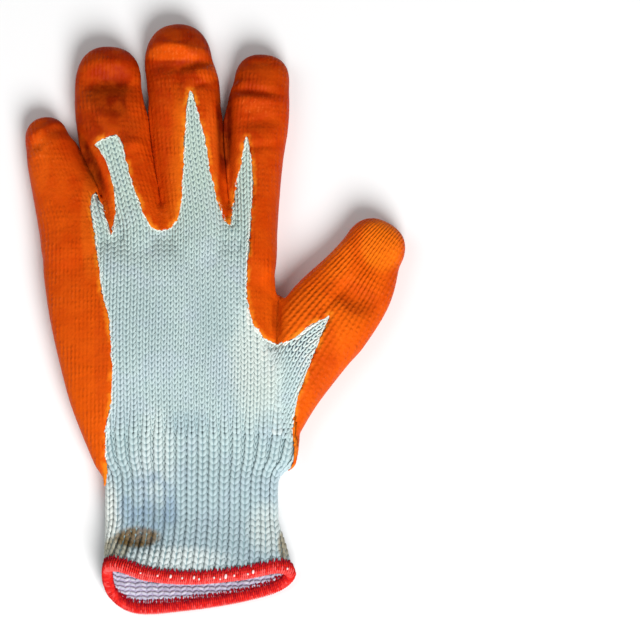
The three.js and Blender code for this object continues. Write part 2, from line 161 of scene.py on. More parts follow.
# The bare knit on the back as seen from above: the coat's edge up the little finger's
# side, a tongue of knit up each finger, then down the thumb's side
WINDOW = {
    "outer": [(-70, 50), (-26.4, 50), (-24.6, 55.5), (-25, 65), (-25, 74), (-22.6, 85), (-22.4, 101),
              (-23.4, 118), (-26.6, 130.5), (-28.2, 144.3), (-29.8, 157)],
    "little": [(-31.2, 166.5), (-30.6, 172.5), (-28.4, 174.8), (-26.4, 169.5), (-24.6, 162), (-22.9, 155.3)],
    "ring": [(-21.6, 164), (-22.4, 175.5), (-24.6, 184.4), (-27.6, 190.6), (-30, 193.6), (-27.5, 195.2),
             (-23.5, 197), (-20.4, 197.2), (-18.6, 193.5), (-16.9, 186.6), (-14.1, 176.6), (-10.5, 165.6),
             (-6.9, 158.8), (-3.2, 157.2), (0.2, 157.8), (3.4, 161.5)],
    "middle": [(5.4, 170), (6.2, 190), (7.2, 207.5), (8.5, 216), (9.2, 216), (12, 207.5), (15.2, 195),
               (17, 183.3), (20.2, 170.2), (23.6, 161), (25, 159.6)],
    "index": [(25.6, 165), (26.2, 173), (27.8, 180), (29.8, 189), (31, 196.6), (31.9, 196.6),
              (33.8, 186.6), (34.3, 174.1), (33.2, 157.1)],
    "thumb": [(32, 141), (31.8, 128), (34.2, 118), (38.8, 111.6), (44.5, 109.4), (50.5, 111.2),
              (57.5, 116.6), (65.6, 121.2), (62.1, 112.9), (58.4, 102.9), (54.8, 94), (51.8, 85),
              (50.4, 75), (51.6, 66.4), (51.2, 61), (48.6, 57.5), (52, 56), (90, 54), (90, -20), (-70, -20)],
}
# The latex's lower edge on the palm, with a tooth at each rib, and the height on the hand's
# side where it meets the back's edge
PALM_EDGE = [
    (-60, 54.5), (-26, 54), (-17, 51), (-7, 49), (25, 49), (33, 53.5), (38, 58), (43, 64), (49, 69),
    (53, 71), (110, 72),
]
TOOTH = 4
TOOTH_PITCH = 5.2
SIDE_Z = 8.5
# How far the edge strays, over what size, with the noise's seed; and where it is calm
EDGE_STRAYS = [(0.6, 1, 0), (0.45, 3, 9)]
CALM_PLACE = (-26, 170)
CALM_REACH = (5, 10)
CALM = 0.85

# Pale loops along the latex's edge: their spacing, and the y that they start from
EDGE_LOOP_STEP = 0.9
EDGE_LOOP_FOOT = 62

# A stitch's two legs, in widths and lengths of the stitch, and its yarn in mm
LEG_OFFSET = 0.235
LEG_WIDTH = (0.5, 0.56)
LEG_LENGTH = 1.55
LEG_LEAN = 0.2
LEG_BOW = 0.3
YARN = 0.64
YARN_HEIGHT = 0.14
# Spacing of courses and columns, how far from the mouth the cuff's stop, and its ribs
COURSE = 2.25
CUFF_COURSE = 2.6
CUFF_WALE = 2.35
CUFF_MARGIN = 1.2
PALM_WALE = 1.6
RIBS = 36
CUFF_WALL = 2.3
RIB_DEPTH = 1.15
# Strands of the wrong side, seen inside the mouth
INSIDE_PITCH = 3
INSIDE_COURSE = 1.85
INSIDE_TOP = 46
INSIDE_STRAND = (1.55, 2.7, 0.9)
INSIDE_SLANT = 0.38
# The back's columns: where they lean with their finger, where they end, and how low and how
# far under the latex a stitch may lie
KNUCKLE_Y = 157
LEAN_Y = (148, 166)
COLUMN_TOP = 222
STITCH_LOWEST = 7.5
COAT_LAP = 0.4
# The thumb gusset's columns: spacing, number to each side, run, lap and slant
GUSSET_WALE = 2.3
GUSSET_HALF = 13
GUSSET_RUN = (-8, 84)
GUSSET_LAP = (-0.3, 1.1)
GUSSET_LEAN = math.radians(25)
GUSSET_BEND = math.radians(28)
GUSSET_BEND_AT = (42, 58)
GUSSET_FOOT = (33.8, 60)
GUSSET_EDGE = [
    (60, 48), (68.5, 47.2), (76.8, 46.3), (85, 45.2), (97.7, 44), (106, 41.5), (112, 37), (125, 34),
]
# The cuff: its ribs' twist at the mouth, its middle and half width. Where the hand is wider,
# the ribs hold their x and crowd towards the middle, and their furrows fade out
TWIST = 0.022
FURROW_FADE = (68, 86)
CUFF_MIDDLE = 9.8
CUFF_HALF = 36
RIB_HOLD = 0.0059
WRIST_CROWD = 0.00186

# Where the latex's lines on the thumb would meet, and the angle between two of them
THUMB_POLE = (120, 200)
THUMB_LINES = 0.0215
# Where the thumb's weave takes over from the palm's: y, and the x that it starts from
THUMB_BORDER = [
    (58, 56.5), (72, 51.5), (85, 51), (100, 46), (112, 43.8), (128, 44.3), (140, 50), (168, 62),
]

# The hem's roll of thread: its half reach along the cuff, its half thickness, its turns
HEM_REACH = 2.8
HEM_HALF = 2.2
WRAPS = 196
# How deep in it the core, the thread and the white loops lie, both ways
CORE_SUNK = (0.6, 0.5)
THREAD_SUNK = (0.45, 0.35)
FLECK_SUNK = (-0.1, -0.1)
# White loops of the knit on the hem: how far along x, and how large
FLECKS = [
    (-10.5, 0.8), (-4, 1), (1.2, 1.7), (6, 1.1), (10.5, 1.6), (12.9, 1), (18.9, 1), (21.4, 0.8),
    (23.4, 2.2), (26.6, 1.1), (32.2, 0.9), (34.3, 1.8), (47.2, 1),
]

SEED = 5
jitter = random.Random(SEED).uniform
scene = bpy.context.scene


def metres(points):
    """Table millimetres as the model's metres."""
    p = np.atleast_2d(np.asarray(points, float))
    return (p - (MIDDLE_X, MIDDLE_Y, 0)) * MM


def point(place):
    """One place of the table as a vector in the model's frame."""
    return Vector(metres(place)[0])


def unit(ways):
    return ways / np.linalg.norm(ways, axis=-1, keepdims=True)


def look_up(table, x):
    """A table's second value where its first is x."""
    return np.interp(x, *zip(*table))


def run_along(line):
    """How far along a line each of its points lies."""
    return np.concatenate([[0], np.cumsum(np.linalg.norm(np.diff(line, axis=0), axis=1))])


def smoothstep(low, high, x):
    t = np.clip((np.asarray(x, float) - low) / (high - low), 0, 1)
    return t * t * (3 - 2 * t)


def through(rows, steps, closed=False):
    """A smooth run through a table's rows, so many steps from each row to the next."""
    p = np.asarray(rows, float)
    p = np.vstack([p[-1], p, p[:2]] if closed else [2 * p[0] - p[1], p, 2 * p[-1] - p[-2]])
    spans = len(p) - 3
    t = np.arange(spans * steps + (not closed)) / steps
    i = np.minimum(t.astype(int), spans - 1)
    f = (t - i)[:, None]
    a, b, c, d = (p[i + k] for k in range(4))
    return 0.5 * (2 * b + (c - a) * f + (2 * a - 5 * b + 4 * c - d) * f**2 + (3 * b - a - 3 * c + d) * f**3)


def section(row, heading, depth, sides):
    """One closed cross-section, square to the heading and set in by a depth."""
    x, y, half, low, high = row
    turn = np.arange(sides) / sides * 2 * math.pi
    c, s = np.cos(turn), np.sin(turn)
    widest = low + WIDEST * (high - low)
    power = np.where(s > 0, 2 / BACK_POWER, 2 / PALM_POWER)
    across = (half - depth) * np.sign(c) * np.abs(c) ** power
    reach = np.where(s > 0, high - depth - widest, widest - low - depth + FLAT)
    z = widest + reach * np.sign(s) * np.abs(s) ** power
    z = np.maximum(z, low + depth)
    return np.column_stack([x + heading[1] * across, y - heading[0] * across, z])


def tube_rings(rows, tip, blunt, depth, sides, straight):
    """The hand's or a finger's cross-sections, close together, and the point that ends them."""
    dense = through(rows, ROW_STEPS)
    ahead = np.vstack([dense[1:, :2], [tip[:2]]]) - np.vstack([dense[:1, :2], dense[:-1, :2]])
    rings = []
    for row, way in zip(dense, ahead):
        rings.append(section(row, (0, 1) if straight else way / np.hypot(*way), depth, sides))
    last = dense[-1]
    run = np.array(tip[:2]) - last[:2]
    heading = (0, 1) if straight else run / np.hypot(*run)
    share = 1 - depth / np.hypot(*run)
    for turn in np.linspace(0.1, 0.97, END_RINGS) * math.pi / 2:
        along, scale = math.sin(turn) ** (2 / blunt), math.cos(turn) ** (2 / blunt)
        x, y = last[:2] + run * along * share
        half = (last[2] - depth) * scale + depth
        low = (tip[2] - depth) * (1 - scale) + last[3] * scale
        high = (tip[2] + depth) * (1 - scale) + last[4] * scale
        rings.append(section((x, y, half, low, high), heading, depth, sides))
    return rings, np.array([*(last[:2] + run * share), tip[2]])


def draw_tube(bm, rings, end=None):
    """A tube drawn out ring by ring from a circle, to a point or back onto its first ring."""
    order = bm.verts.layers.int.get("turn") or bm.verts.layers.int.new("turn")
    verts = bmesh.ops.create_circle(bm, segments=len(rings[0]), radius=1)["verts"]
    for i, v in enumerate(verts):
        v[order] = i
    first = edges = list({e for v in verts for e in v.link_edges})
    if end is not None:
        bmesh.ops.contextual_create(bm, geom=edges)
    for k, ring in enumerate(rings):
        if k:
            grown = bmesh.ops.extrude_edge_only(bm, edges=edges)["geom"]
            verts = [g for g in grown if isinstance(g, bmesh.types.BMVert)]
            edges = [g for g in grown if isinstance(g, bmesh.types.BMEdge)]
        place = metres(ring)
        for v in verts:
            v.co = place[v[order]]
    if end is None:
        bmesh.ops.bridge_loops(bm, edges=first + edges)
    else:
        bmesh.ops.pointmerge(bm, verts=verts, merge_co=point(end))
    bmesh.ops.recalc_face_normals(bm, faces=bm.faces)


def in_scene(name, data):
    ob = bpy.data.objects.new(name, data)
    scene.collection.objects.link(ob)
    return ob


def new_piece(name, bm):
    me = bpy.data.meshes.new(name)
    bm.to_mesh(me)
    bm.free()
    me.shade_smooth()
    return in_scene(name, me)


def note(ob, name, values, kind="FLOAT", field="value"):
    """Leaves a number or a vector at each of a piece's points, for its finish to read."""
    data = ob.data.attributes.new(name, kind, "POINT").data
    data.foreach_set(field, np.asarray(values, float).ravel())


def settled(ob):
    """The object's mesh with its modifiers made part of it, as a bmesh; the object goes."""
    bm = bmesh.new()
    bm.from_object(ob, bpy.context.evaluated_depsgraph_get())
    bpy.data.objects.remove(ob)
    return bm


def walled(bm, thickness):
    """The open skin with a wall's thickness behind it."""
    ob = new_piece("wall", bm)
    mod = ob.modifiers.new("wall", "SOLIDIFY")
    mod.thickness = thickness * MM
    mod.offset = -1
    return settled(ob)


def places_of(verts):
    return np.array([v.co for v in verts]) / MM + (MIDDLE_X, MIDDLE_Y, 0)


def move_to(bm, p):
    for v, co in zip(bm.verts, metres(p)):
        v.co = co
    bm.normal_update()


def normals_of(bm):
    bm.normal_update()
    return np.array([v.normal for v in bm.verts])


def fold_depth(p, folds):
    drop = np.zeros(len(p))
    for x, y, across, along, turn, depth in folds:
        a = math.radians(turn)
        dx, dy = p[:, 0] - x, p[:, 1] - y
        u = (dx * math.cos(a) + dy * math.sin(a)) / across
        v = (dy * math.cos(a) - dx * math.sin(a)) / along
        drop += depth * np.exp(-(u * u) - v * v)
    return drop


def folded(p, n):
    """Presses the folds and hollows into the back and the palm of the form."""
    out = p.copy()
    out[:, 2] -= fold_depth(p, FOLDS) * smoothstep(0, 0.6, n[:, 2])
    out[:, 2] += fold_depth(p, PALM_FOLDS) * smoothstep(0, 0.6, -n[:, 2])
    return out


def hand_form(voxel, depth, rounds):
    """The whole hand as one smooth closed skin: tubes joined on a fine grid, then eased."""
    bm = bmesh.new()
    sunk = depth + JOIN_DEPTH
    draw_tube(bm, *tube_rings(HAND, KNUCKLE_END, HAND_BLUNT, sunk, HAND_SIDES, True))
    for part in [*FINGERS.values(), *WEBS]:
        draw_tube(bm, *tube_rings(**part, depth=sunk, sides=FINGER_SIDES, straight=False))
    ob = new_piece("form", bm)
    mod = ob.modifiers.new("join", "REMESH")
    mod.mode = "VOXEL"
    mod.voxel_size = voxel * MM
    bm = settled(ob)
    for _ in range(rounds):
        bmesh.ops.smooth_vert(bm, verts=bm.verts, factor=0.5,
                              use_axis_x=True, use_axis_y=True, use_axis_z=True)
    n = normals_of(bm)
    p = folded(places_of(bm.verts) + n * (JOIN_DEPTH + SMOOTHED_OFF), n)
    p[:, 2] = np.maximum(p[:, 2], depth)
    move_to(bm, p)
    return bm


def press_together(bm):
    """Lets fingers that lie side by side touch: facing walls meet but for a narrow gap."""
    tree = BVHTree.FromBMesh(bm)
    p = places_of(bm.verts)
    n = normals_of(bm)
    grow = np.zeros(len(p))
    for i, v in enumerate(bm.verts):
        if abs(v.normal.z) > 0.85 or not TOUCH_Y[0] < p[i, 1] < TOUCH_Y[1] or p[i, 0] > TOUCH_SIDE:
            continue
        _, facing, _, far = tree.ray_cast(v.co + v.normal * TOUCH_GAP * MM, v.normal, 4 * MM)
        if facing is not None and facing.dot(v.normal) < -0.2:
            room = far / MM
            end = look_up(TOUCH_END, p[i, 0])
            closed = max(room - TOUCH_GAP, 0) / 2 * (1 - smoothstep(*TOUCH_ROOM, room))
            grow[i] = closed * smoothstep(end, end - TOUCH_PARTING, p[i, 1])
    pairs = np.array([[e.verts[0].index, e.verts[1].index] for e in bm.edges])
    share = np.bincount(pairs.ravel(), minlength=len(p))
    for _ in range(3):
        beside = np.bincount(pairs[:, 0], grow[pairs[:, 1]], len(p))
        beside += np.bincount(pairs[:, 1], grow[pairs[:, 0]], len(p))
        grow = (grow + beside / share) / 2
    move_to(bm, p + n * grow[:, None])


WINDOW_LINE = np.array([place for part in WINDOW.values() for place in part], float)


def window_distance(p):
    """Distance from each place to the window's outline on the plan, less than 0 inside it."""
    best = np.full(len(p), np.inf)
    inside = np.zeros(len(p), bool)
    for (ax, ay), (bx, by) in zip(WINDOW_LINE, np.roll(WINDOW_LINE, -1, 0)):
        dx, dy = bx - ax, by - ay
        t = np.clip(((p[:, 0] - ax) * dx + (p[:, 1] - ay) * dy) / (dx * dx + dy * dy), 0, 1)
        best = np.minimum(best, np.hypot(p[:, 0] - ax - t * dx, p[:, 1] - ay - t * dy))
        if dy:
            inside ^= ((ay > p[:, 1]) != (by > p[:, 1])) & (p[:, 0] < ax + (p[:, 1] - ay) / dy * dx)
    return np.where(inside, -best, best)


def ragged(p, size, seed):
    """Soft noise from -1 to 1 at each place."""
    return np.array([noise.noise(Vector((x / size, y / size, z / size + seed))) for x, y, z in p])


def palm_edge(x):
    """The y of the latex's lower edge on the palm, with a tooth at each rib."""
    phase = ((x + 26) / TOOTH_PITCH) % 1
    tooth = smoothstep(0, 0.22, phase) * smoothstep(1, 0.62, phase)
    return look_up(PALM_EDGE, x) + TOOTH * (0.5 - tooth)


def coat(p):
    """How far inside the latex's edge each place of the form lies, in millimetres."""
    calm = 1 - CALM * np.exp(-(((p[:, :2] - CALM_PLACE) / CALM_REACH) ** 2).sum(axis=1))
    rough = sum(far * ragged(p, size, seed) for far, size, seed in EDGE_STRAYS) * calm
    back = window_distance(p) + rough
    palm = p[:, 1] - palm_edge(p[:, 0]) + rough
    side = SIDE_Z - p[:, 2]
    return np.minimum(np.maximum(back, side), np.maximum(palm, -side))


def trim_below(bm, value):
    """Cuts the faces along value = 0 and drops the part where it is below 0."""
    level = bm.verts.layers.float.new("level")
    for v, f in zip(bm.verts, value):
        v[level] = f if abs(f) > 1e-4 else 1e-4
    fresh = set()
    for e in list(bm.edges):
        a, b = e.verts
        if (a[level] > 0) != (b[level] > 0):
            t = a[level] / (a[level] - b[level])
            _, v = bmesh.utils.edge_split(e, a, min(max(t, 0.06), 0.94))
            v[level] = 0
            fresh.add(v)
    for f in list(bm.faces):
        cut = [v for v in f.verts if v in fresh]
        if len(cut) == 2:
            bmesh.utils.face_split(f, cut[0], cut[1])
    gone = [f for f in bm.faces if sum(v[level] for v in f.verts) < 0]
    bmesh.ops.delete(bm, geom=gone, context="FACES")


def drop_crumbs(bm, least):
    """Leaves out loose scraps of surface with fewer faces than a size."""
    seen, crumbs = set(), []
    for start in bm.faces:
        if start in seen:
            continue
        island, stack = [], [start]
        seen.add(start)
        while stack:
            f = stack.pop()
            island.append(f)
            beside = {g for e in f.edges for g in e.link_faces} - seen
            seen |= beside
            stack += beside
        if len(island) < least:
            crumbs += island
    bmesh.ops.delete(bm, geom=crumbs, context="FACES")


# The middle lines of the four fingers beside the thumb
FINGER_LINES = [np.array([row[:2] for row in (*f["rows"], f["tip"])]) for f in list(FINGERS.values())[:4]]
LONG_FINGERS = range(len(FINGER_LINES))


def finger_x(finger, y):
    """The x of a finger's middle at each y."""
    line = FINGER_LINES[finger]
    return np.interp(y, line[:, 1], line[:, 0])


KNUCKLES = np.array([finger_x(f, KNUCKLE_Y) for f in LONG_FINGERS])


def finger_lean(finger, y):
    """How far sideways a finger's columns have leant at each y, counted from the knuckles."""
    return (finger_x(finger, y) - KNUCKLES[finger]) * smoothstep(*LEAN_Y, y)


def weave_of(p):
    """Columns and courses of the knit counted across and along at each place of the form."""
    near = np.argmin([np.abs(finger_x(f, p[:, 1]) - p[:, 0]) for f in LONG_FINGERS], 0)
    lean = np.stack([finger_lean(f, p[:, 1]) for f in LONG_FINGERS])[near, np.arange(len(p))]
    away = np.array(THUMB_POLE) - p[:, :2]
    thumb = p[:, 0] > look_up(THUMB_BORDER, p[:, 1])
    across = np.where(thumb, np.arctan2(away[:, 0], away[:, 1]) / THUMB_LINES, (p[:, 0] - lean) / PALM_WALE)
    along = np.where(thumb, np.hypot(away[:, 0], away[:, 1]), p[:, 1]) / COURSE
    return across, along


def note_weave(ob):
    """Leaves on the latex which column of knit lies under it and how near its edge is."""
    p = places_of(ob.data.vertices)
    note(ob, "weave", np.column_stack([*weave_of(p), coat(p)]), "FLOAT_VECTOR", "vector")


def note_rim(ob):
    """Leaves on the knit how near the latex's edge runs over it."""
    note(ob, "rim", 1 - smoothstep(0.3, 2, np.abs(window_distance(places_of(ob.data.vertices)))))
    return ob


def scatter(name, places, bow=0):
    """Many strands in one mesh; each place is a matrix, a shade and how dark its hole is."""
    template = strand(bow)
    hole = template.verts.layers.float["hole"]
    shape = np.array([v.co for v in template.verts])
    beside = np.array([v[hole] for v in template.verts])
    faces = [[v.index for v in f.verts] for f in template.faces]
    m = np.array([matrix for matrix, _, _ in places])
    pts = np.einsum("kij,nj->kni", m[:, :3, :3], shape) + m[:, None, :3, 3]
    ways = [1 if size > 0 else -1 for size in np.linalg.det(m[:, :3, :3])]
    count = len(shape)
    corners = [[i + k * count for i in f[::way]] for k, way in enumerate(ways) for f in faces]
    me = bpy.data.meshes.new(name)
    me.from_pydata(pts.reshape(-1, 3), [], corners)
    me.shade_smooth()
    ob = in_scene(name, me)
    # Each point's shade less its hole's darkness: shade painted in the stitch holes
    note(ob, "shade", [[s - depth * b for b in beside] for _, s, depth in places])
    return ob


def strand(bow):
    """A short plump length of yarn along +Y, 1 long and 1 across, bowed towards +X.

    Its layer tells how near each vertex lies to a hole: the far end's hollow side and the
    near tip, which sits in the hole of the stitch before."""
    bm = bmesh.new()
    bmesh.ops.create_uvsphere(bm, u_segments=6, v_segments=4, radius=0.5,
                              matrix=Matrix.Rotation(math.pi / 2, 4, "X"))
    # The hole layer is later taken off the strand's shade: painted shade in the stitch's hole
    hole = bm.verts.layers.float.new("hole")
    for v in bm.verts:
        rise = min(max(0.45 + 1.5 * v.co.y, 0), 1)
        v[hole] = 1 if v.co.y < -0.45 else max(0, -v.co.x / 0.4) * rise
        v.co.x += bow * (0.25 - v.co.y**2)
    bm.verts.index_update()
    return bm


def lay(at, along, up, size, shade, hole=0, turn=0):
    """A strand's place, along a way on a surface with a size in mm, its shade and its hole."""
    y = (along - up * along.dot(up)).normalized()
    x = y.cross(up).normalized()
    r = Matrix((x, y, up)).transposed() @ Matrix.Rotation(turn, 3, "Z")
    m = (r @ Matrix.Diagonal(Vector(size) * MM)).to_4x4()
    m.translation = at
    return m, shade, hole


def vee(places, at, along, up, size, tone, hole):
    """The two legs of one knit stitch, the left one mirrored, with a hole between them."""
    width, length, thick = size
    x = (along - up * along.dot(up)).normalized().cross(up).normalized()
    for side in (-1, 1):
        spot = at + x * side * width * LEG_OFFSET * MM
        leg = (side * width * jitter(*LEG_WIDTH), length, thick)
        turn = jitter(-0.05, 0.05) - side * LEG_LEAN
        places.append(lay(spot, along, up, leg, tone + jitter(-0.08, 0.08), hole * jitter(0.6, 1.2), turn))


def rib_stitch(wale, course, furrow, ribbed):
    """A stitch's size and height on a rib's crest or in its furrow, by how much is left of the rib."""
    wider, thicker, lower = (-0.45, 0.1, RIB_DEPTH) if furrow else (0.53, 0.42, 0.36)
    size = (wale * (1 + wider * ribbed), course * LEG_LENGTH, YARN + thicker * ribbed)
    return size, YARN_HEIGHT - lower * ribbed


# The cuff: rings from the mouth to the wrist, spaced evenly round
MOUTH_LINE = through(MOUTH, 24, closed=True)
MOUTH_BLEND_Y = 38
MOUTH_SHARE = 0.36


def evenly(ring, count, start, crowd):
    """A closed ring's points spaced evenly, or crowded together towards back and palm."""
    loop = np.vstack([ring, ring[:1]])
    far = run_along(loop)
    share = np.arange(count) / count + start
    at = (share + crowd * np.sin(4 * math.pi * share)) % 1 * far[-1]
    return np.column_stack([np.interp(at, far, loop[:, k]) for k in range(3)])


def cuff_ring(y, blend, count):
    """A ring of the cuff: the mouth's line, the hand's section, or part way between."""
    dense = through(HAND, 12)
    row = [np.interp(y, dense[:, 1], dense[:, k]) for k in range(5)]
    ring = MOUTH_LINE * (1 - blend) + section(row, (0, 1), 0, len(MOUTH_LINE)) * blend
    start = TWIST * (1 - blend) + blend * (row[0] - CUFF_MIDDLE) * RIB_HOLD
    return evenly(ring, count, start, WRIST_CROWD * max(row[2] - CUFF_HALF, 0))


def outward(rings):
    r = np.asarray(rings)
    return unit(np.cross(np.gradient(r, axis=0), np.roll(r, -1, 1) - np.roll(r, 1, 1)))


class Cuff:
    """The crests' surface as a grid: rows from the mouth to the wrist, columns round."""

    def __init__(self, rows, count):
        share = np.linspace(0, 1, rows)
        blend = np.clip(share / MOUTH_SHARE, 0, 1)
        y = MOUTH_BLEND_Y + np.clip(share - MOUTH_SHARE, 0, 1) / (1 - MOUTH_SHARE) * (WRIST_Y - MOUTH_BLEND_Y)
        rings = np.array([cuff_ring(a, b, count) for a, b in zip(y, blend)])
        for _ in range(3):
            rings[1:-1] = (rings[:-2] + 2 * rings[1:-1] + rings[2:]) / 4
        self.rows, self.count = rows, count
        self.starts = [0.3 + 0.4 * (j % 2) + jitter(-0.2, 0.2) for j in range(2 * RIBS)]
        self.away = outward(rings)
        lift = (CUFF_WALL / 2 * (1 - blend) - KNIT_OUT * blend)[:, None, None]
        crest = (rings + self.away * lift).reshape(-1, 3)
        self.crest = folded(crest, self.away.reshape(-1, 3)).reshape(rings.shape)

    def at(self, row, column):
        """Place and outward way at fractional grid numbers."""
        row = min(max(row, 0), self.rows - 1.001)
        i, j = int(row), int(column % self.count)
        fi, fj = row - i, column % self.count - j
        k = (j + 1) % self.count
        found = []
        for g in (self.crest, self.away):
            a = g[i, j] * (1 - fj) + g[i, k] * fj
            b = g[i + 1, j] * (1 - fj) + g[i + 1, k] * fj
            found.append(a * (1 - fi) + b * fi)
        return found

    def courses(self, column, spacing, margin, start):
        """Stitch places down one column, counted from the wrist: place, up, along, y."""
        fine = np.linspace(0, self.rows - 1, 150)
        far = run_along([self.at(r, column)[0] for r in fine])
        for s in np.arange(far[-1] - spacing * start, margin, -spacing):
            r = np.interp(s, far, fine)
            here, away = self.at(r, column)
            along = Vector(self.at(r + 0.3, column)[0] - self.at(r - 0.3, column)[0])
            yield point(here), Vector(away).normalized(), along.normalized(), here[1]


def furrow_share(y):
    """How much of a furrow's depth is left at each y, fading out where the hand starts."""
    return 1 - smoothstep(*FURROW_FADE, y)


def furrow_depth(phase, y):
    """How far the wall lies below a rib's crest."""
    return RIB_DEPTH * furrow_share(y) * (0.5 - 0.5 * np.cos(2 * math.pi * phase)) ** 1.3


def cuff_wall(cuff):
    phase = (np.arange(cuff.count) / cuff.count * RIBS)[None, :]
    depth = furrow_depth(phase, cuff.crest[:, :, 1])[:, :, None]
    outer = cuff.crest - cuff.away * (depth + 0.1)
    inner = cuff.crest - cuff.away * CUFF_WALL
    outer[-1, :, 1] = inner[-1, :, 1] = WRIST_Y - SEAM / 2
    bm = bmesh.new()
    draw_tube(bm, [*outer, *inner[::-1]])
    ob = new_piece("cuff_wall", bm)
    note(ob, "shade", np.repeat([0, 1], len(ob.data.vertices) // 2))
    return ob


def rib_stitches(cuff):
    """A column of V stitches on each rib and a narrower, deeper one in each furrow."""
    places = []
    per_rib = cuff.count / RIBS
    for rib in range(RIBS):
        tone = 0.62 + jitter(-0.06, 0.06)
        for furrow in (0, 1):
            column = (rib + furrow / 2) * per_rib
            start = cuff.starts[2 * rib + furrow]
            for at, up, along, y in cuff.courses(column, CUFF_COURSE, CUFF_MARGIN, start):
                ribbed = furrow_share(y)
                size, height = rib_stitch(CUFF_WALE, CUFF_COURSE, furrow, ribbed)
                # Furrow stitches are painted darker for the shade in the furrow, and each hole gets painted
                # shade
                vee(places, at + up * height * MM, along, up, size, tone - 0.12 * furrow * ribbed, 0.95)
    return scatter("cuff_stitches", places, LEG_BOW)


def inside_rows(cuff):
    """The wavy rows of the knit's wrong side, seen inside the mouth."""
    places = []
    for column in range(0, cuff.count, INSIDE_PITCH):
        wave = 1 if column // INSIDE_PITCH % 2 else -1
        for at, up, along, y in cuff.courses(column, INSIDE_COURSE, 0.5, 0.5):
            if y > INSIDE_TOP:
                continue
            spot = at - up * (CUFF_WALL + 0.05) * MM
            shade = 0.65 + jitter(-0.3, 0.3)
            places.append(lay(spot, along.cross(up), -up, INSIDE_STRAND, shade, turn=wave * INSIDE_SLANT))
    return scatter("inside_rows", places)


def knit_drop(tree, x, y):
    """Where the knit lies under a place on the plan, and its normal."""
    return tree.ray_cast(point((x, y, 60)), Vector((0, 0, -1)))[:2]


def straight_wales(cuff):
    """Columns up the back from those of the cuff, each bending with its finger."""
    tops = [(cuff.at(cuff.rows - 1, j * cuff.count / (2 * RIBS)), j) for j in range(2 * RIBS)]
    columns = sorted((place[0], j) for (place, away), j in tops if away[2] > 0.12)
    for (a, _), (x0, j), (b, _) in zip(columns, columns[1:], columns[2:]):
        furrow = j % 2
        finger = int(np.argmin(np.abs(KNUCKLES - x0)))
        width = (b - a) / 2
        for y in np.arange(WRIST_Y + COURSE * (1 - cuff.starts[j]), COLUMN_TOP, COURSE):
            sway = 0.25 * math.sin(y / 9 + x0 / 11)
            x = x0 + sway + finger_lean(finger, y)
            lean = finger_lean(finger, y + 1) - finger_lean(finger, y)
            yield x, y, Vector((lean, 1, 0)), width, furrow, furrow_share(y)


def gusset_wales():
    """Columns aslant up the thumb's gusset, side by side along a line that bends to the thumb."""
    far = np.arange(*GUSSET_RUN, COURSE / 2)
    lean = GUSSET_LEAN + GUSSET_BEND * smoothstep(*GUSSET_BEND_AT, far)
    way = np.column_stack([np.sin(lean), np.cos(lean)])
    line = np.array(GUSSET_FOOT) + np.cumsum(way, axis=0) * COURSE / 2 + way[0] * GUSSET_RUN[0]
    for k in range(-GUSSET_HALF, GUSSET_HALF + 1):
        for i in range(k % 2, len(far), 2):
            x, y = line[i] + np.array([way[i, 1], -way[i, 0]]) * k * GUSSET_WALE
            yield x, y, Vector((*way[i], 0)), GUSSET_WALE, 0, 0


def edge_loops(tree):
    """Places of the pale loops that are pulled up along the latex's edge."""
    run = run_along(WINDOW_LINE)
    places = []
    for s in np.arange(0, run[-1] - 1, EDGE_LOOP_STEP):
        here, ahead = (np.array([np.interp(t, run, axis) for axis in WINDOW_LINE.T]) for t in (s, s + 0.5))
        way = (ahead - here) / 0.5
        x, y = here + np.array([way[1], -way[0]]) * jitter(0.1, 0.7)
        slant = jitter(-0.5, 0.5)
        hit, normal = knit_drop(tree, x, y)
        if y < EDGE_LOOP_FOOT or hit is None or normal.z < 0.2:
            continue
        along = Vector((way[0] - way[1] * slant, way[1] + way[0] * slant, 0))
        spot = hit + normal * jitter(0.3, 0.5) * MM
        size = (jitter(0.6, 0.85), jitter(1.4, 2.2), 0.8)
        places.append(lay(spot, along, normal, size, jitter(0.9, 1.3)))
    return places


def back_stitches(tree, cuff):
    """V stitches over the bare back, paler where the knit is stretched over the gusset's edge."""
    spots = []
    for in_gusset, source in ((False, straight_wales(cuff)), (True, gusset_wales())):
        for x, y, *rest in source:
            beyond = x - look_up(GUSSET_EDGE, y) if WRIST_Y < y < GUSSET_EDGE[-1][0] else -50
            if (beyond > GUSSET_LAP[0]) if in_gusset else (beyond < GUSSET_LAP[1]):
                spots.append((x, y, *rest, beyond))
    far = window_distance(np.array([s[:2] for s in spots]))
    places = []
    for (x, y, way, wale, furrow, ribbed, beyond), d in zip(spots, far):
        if d > COAT_LAP:
            continue
        hit, normal = knit_drop(tree, x, y)
        if hit is None or hit.z < STITCH_LOWEST * MM or normal.z < 0.3:
            continue
        near = max(0, 1 - abs(d) / 1.7)
        pale = math.exp(-((beyond + 2.5) / 3.4) ** 2)
        slack = smoothstep(4, 10, beyond)
        calm = math.exp(-((beyond + 4) / 9) ** 2)
        # Furrow stitches are painted darker for the shade in the furrow
        tone = 0.56 + 0.38 * near - 0.12 * furrow * ribbed + 0.38 * pale + 0.45 * slack + jitter(-0.06, 0.06)
        stretched = smoothstep(140, 175, y)
        span = wale * (1 - 0.12 * slack + 0.12 * pale) / max(normal.z, 0.7)
        size, height = rib_stitch(span, COURSE, furrow, ribbed)
        spot = hit + normal * (height + near * jitter(0, 0.3) + 0.1 * pale) * MM
        # The holes get painted shade, darker where the knit is slack or stretched
        vee(places, spot, way, normal, size, tone, 0.55 - 0.35 * calm + 1.4 * slack + 0.7 * stretched)
    return scatter("back_stitches", places + edge_loops(tree), LEG_BOW)


